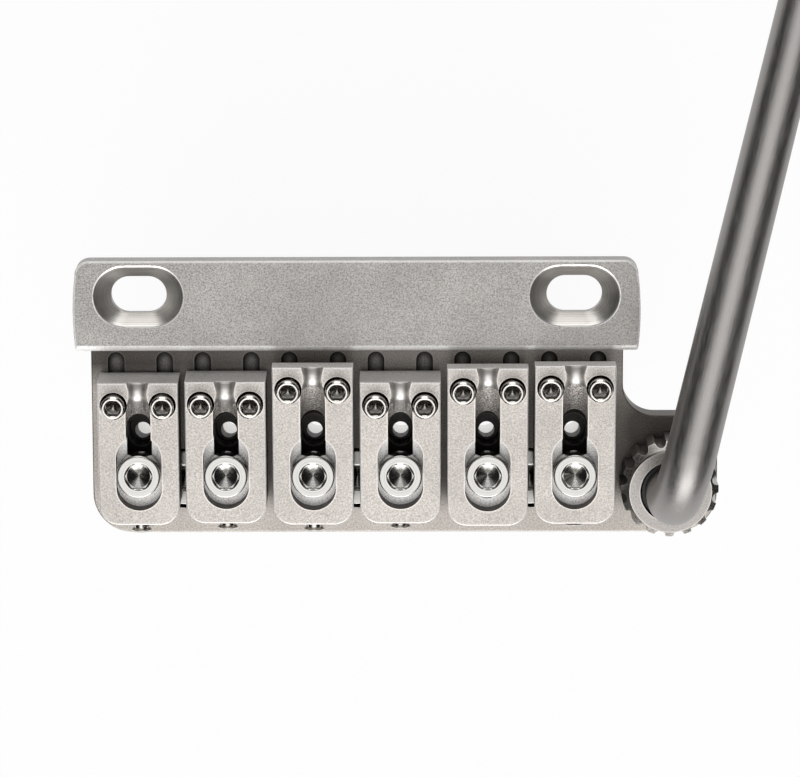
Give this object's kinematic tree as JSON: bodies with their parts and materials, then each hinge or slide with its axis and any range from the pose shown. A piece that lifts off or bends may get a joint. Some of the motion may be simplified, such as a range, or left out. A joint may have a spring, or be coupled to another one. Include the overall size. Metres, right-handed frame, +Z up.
{
  "type": "guitar tremolo bridge",
  "caption": "Blasted steel tremolo bridge: a slotted mounting plate, a hinged base plate with adjustable string saddles, a sustain block and a push-in arm.",
  "frame": {"origin": "midway between the two mounting slots, on the underside of the mounting plate", "axes": "+X to the treble side, where the arm is; +Y to the neck; +Z up from the guitar's top"},
  "size_m": [0.1061, 0.1421, 0.0696],
  "materials": {
    "plate_steel": "bead blasted",
    "saddle_steel": "fine bead blasted",
    "screw_steel": "polished",
    "block_steel": "satin",
    "bearing_steel": "ground",
    "nut_steel": "blasted",
    "arm_steel": "satin",
    "sleeve_plastic": "moulded"
  },
  "bodies": {
    "mount": {"mounting_plate": "plate_steel", "hinge_axle": "bearing_steel", "axle_grub_screws": "screw_steel", "hinge_shims": "bearing_steel", "bearing_inner_rings": "bearing_steel", "bearing_balls": "bearing_steel"},
    "bridge": {"base_plate": "plate_steel", "sustain_block": "block_steel", "block_screws": "screw_steel", "bearing_outer_rings": "bearing_steel", "arm_bushing": "bearing_steel", "lock_screw_1": "screw_steel", "lock_screw_2": "screw_steel", "lock_screw_3": "screw_steel", "lock_screw_4": "screw_steel", "lock_screw_5": "screw_steel", "lock_screw_6": "screw_steel", "intonation_screw_1": "screw_steel", "intonation_screw_2": "screw_steel", "intonation_screw_3": "screw_steel", "intonation_screw_4": "screw_steel", "intonation_screw_5": "screw_steel", "intonation_screw_6": "screw_steel"},
    "carriage_1": {"height_screws_1": "screw_steel"},
    "saddle_1": {"saddle_1": "saddle_steel"},
    "carriage_2": {"height_screws_2": "screw_steel"},
    "saddle_2": {"saddle_2": "saddle_steel"},
    "carriage_3": {"height_screws_3": "screw_steel"},
    "saddle_3": {"saddle_3": "saddle_steel"},
    "carriage_4": {"height_screws_4": "screw_steel"},
    "saddle_4": {"saddle_4": "saddle_steel"},
    "carriage_5": {"height_screws_5": "screw_steel"},
    "saddle_5": {"saddle_5": "saddle_steel"},
    "carriage_6": {"height_screws_6": "screw_steel"},
    "saddle_6": {"saddle_6": "saddle_steel"},
    "sleeve": {"arm_sleeve": "sleeve_plastic"},
    "arm": {"tremolo_arm": "arm_steel"},
    "nut": {"tension_nut": "nut_steel"}
  },
  "joints": [
    {"name": "bridge_tilt", "type": "hinge", "parent": "mount", "child": "bridge", "pos_m": [0, -0.0046, -0.0073], "axis": [1, 0, 0], "range_deg": [-12.5, 8]},
    {"name": "intonation_1", "type": "slide", "parent": "bridge", "child": "carriage_1", "axis": [0, 1, 0], "range_m": [-0.0012, 0.0012]},
    {"name": "saddle_height_1", "type": "hinge", "parent": "carriage_1", "child": "saddle_1", "pos_m": [-0.027, -0.02711, 0.0011], "axis": [1, 0, 0], "range_deg": [-2, 1.4]},
    {"name": "intonation_2", "type": "slide", "parent": "bridge", "child": "carriage_2", "axis": [0, 1, 0], "range_m": [-0.0012, 0.0012]},
    {"name": "saddle_height_2", "type": "hinge", "parent": "carriage_2", "child": "saddle_2", "pos_m": [-0.0162, -0.02688, 0.0011], "axis": [1, 0, 0], "range_deg": [-2, 1.4]},
    {"name": "intonation_3", "type": "slide", "parent": "bridge", "child": "carriage_3", "axis": [0, 1, 0], "range_m": [-0.0012, 0.0012]},
    {"name": "saddle_height_3", "type": "hinge", "parent": "carriage_3", "child": "saddle_3", "pos_m": [-0.0054, -0.02703, 0.0011], "axis": [1, 0, 0], "range_deg": [-2, 1.4]},
    {"name": "intonation_4", "type": "slide", "parent": "bridge", "child": "carriage_4", "axis": [0, 1, 0], "range_m": [-0.0012, 0.0012]},
    {"name": "saddle_height_4", "type": "hinge", "parent": "carriage_4", "child": "saddle_4", "pos_m": [0.0054, -0.02688, 0.0011], "axis": [1, 0, 0], "range_deg": [-2, 1.4]},
    {"name": "intonation_5", "type": "slide", "parent": "bridge", "child": "carriage_5", "axis": [0, 1, 0], "range_m": [-0.0012, 0.0012]},
    {"name": "saddle_height_5", "type": "hinge", "parent": "carriage_5", "child": "saddle_5", "pos_m": [0.0162, -0.02723, 0.0011], "axis": [1, 0, 0], "range_deg": [-2, 1.4]},
    {"name": "intonation_6", "type": "slide", "parent": "bridge", "child": "carriage_6", "axis": [0, 1, 0], "range_m": [-0.0012, 0.0012]},
    {"name": "saddle_height_6", "type": "hinge", "parent": "carriage_6", "child": "saddle_6", "pos_m": [0.027, -0.02703, 0.0011], "axis": [1, 0, 0], "range_deg": [-2, 1.4]},
    {"name": "arm_swing", "type": "hinge", "parent": "bridge", "child": "sleeve", "pos_m": [0.03875, -0.0238, 0], "axis": [0, 0, 1], "continuous": true},
    {"name": "arm_pull", "type": "slide", "parent": "sleeve", "child": "arm", "axis": [0, 0, 1], "range_m": [0, 0.017]},
    {"name": "nut_turn", "type": "hinge", "parent": "bridge", "child": "nut", "pos_m": [0.03875, -0.0238, 0], "axis": [0, 0, 1], "continuous": true}
  ]
}
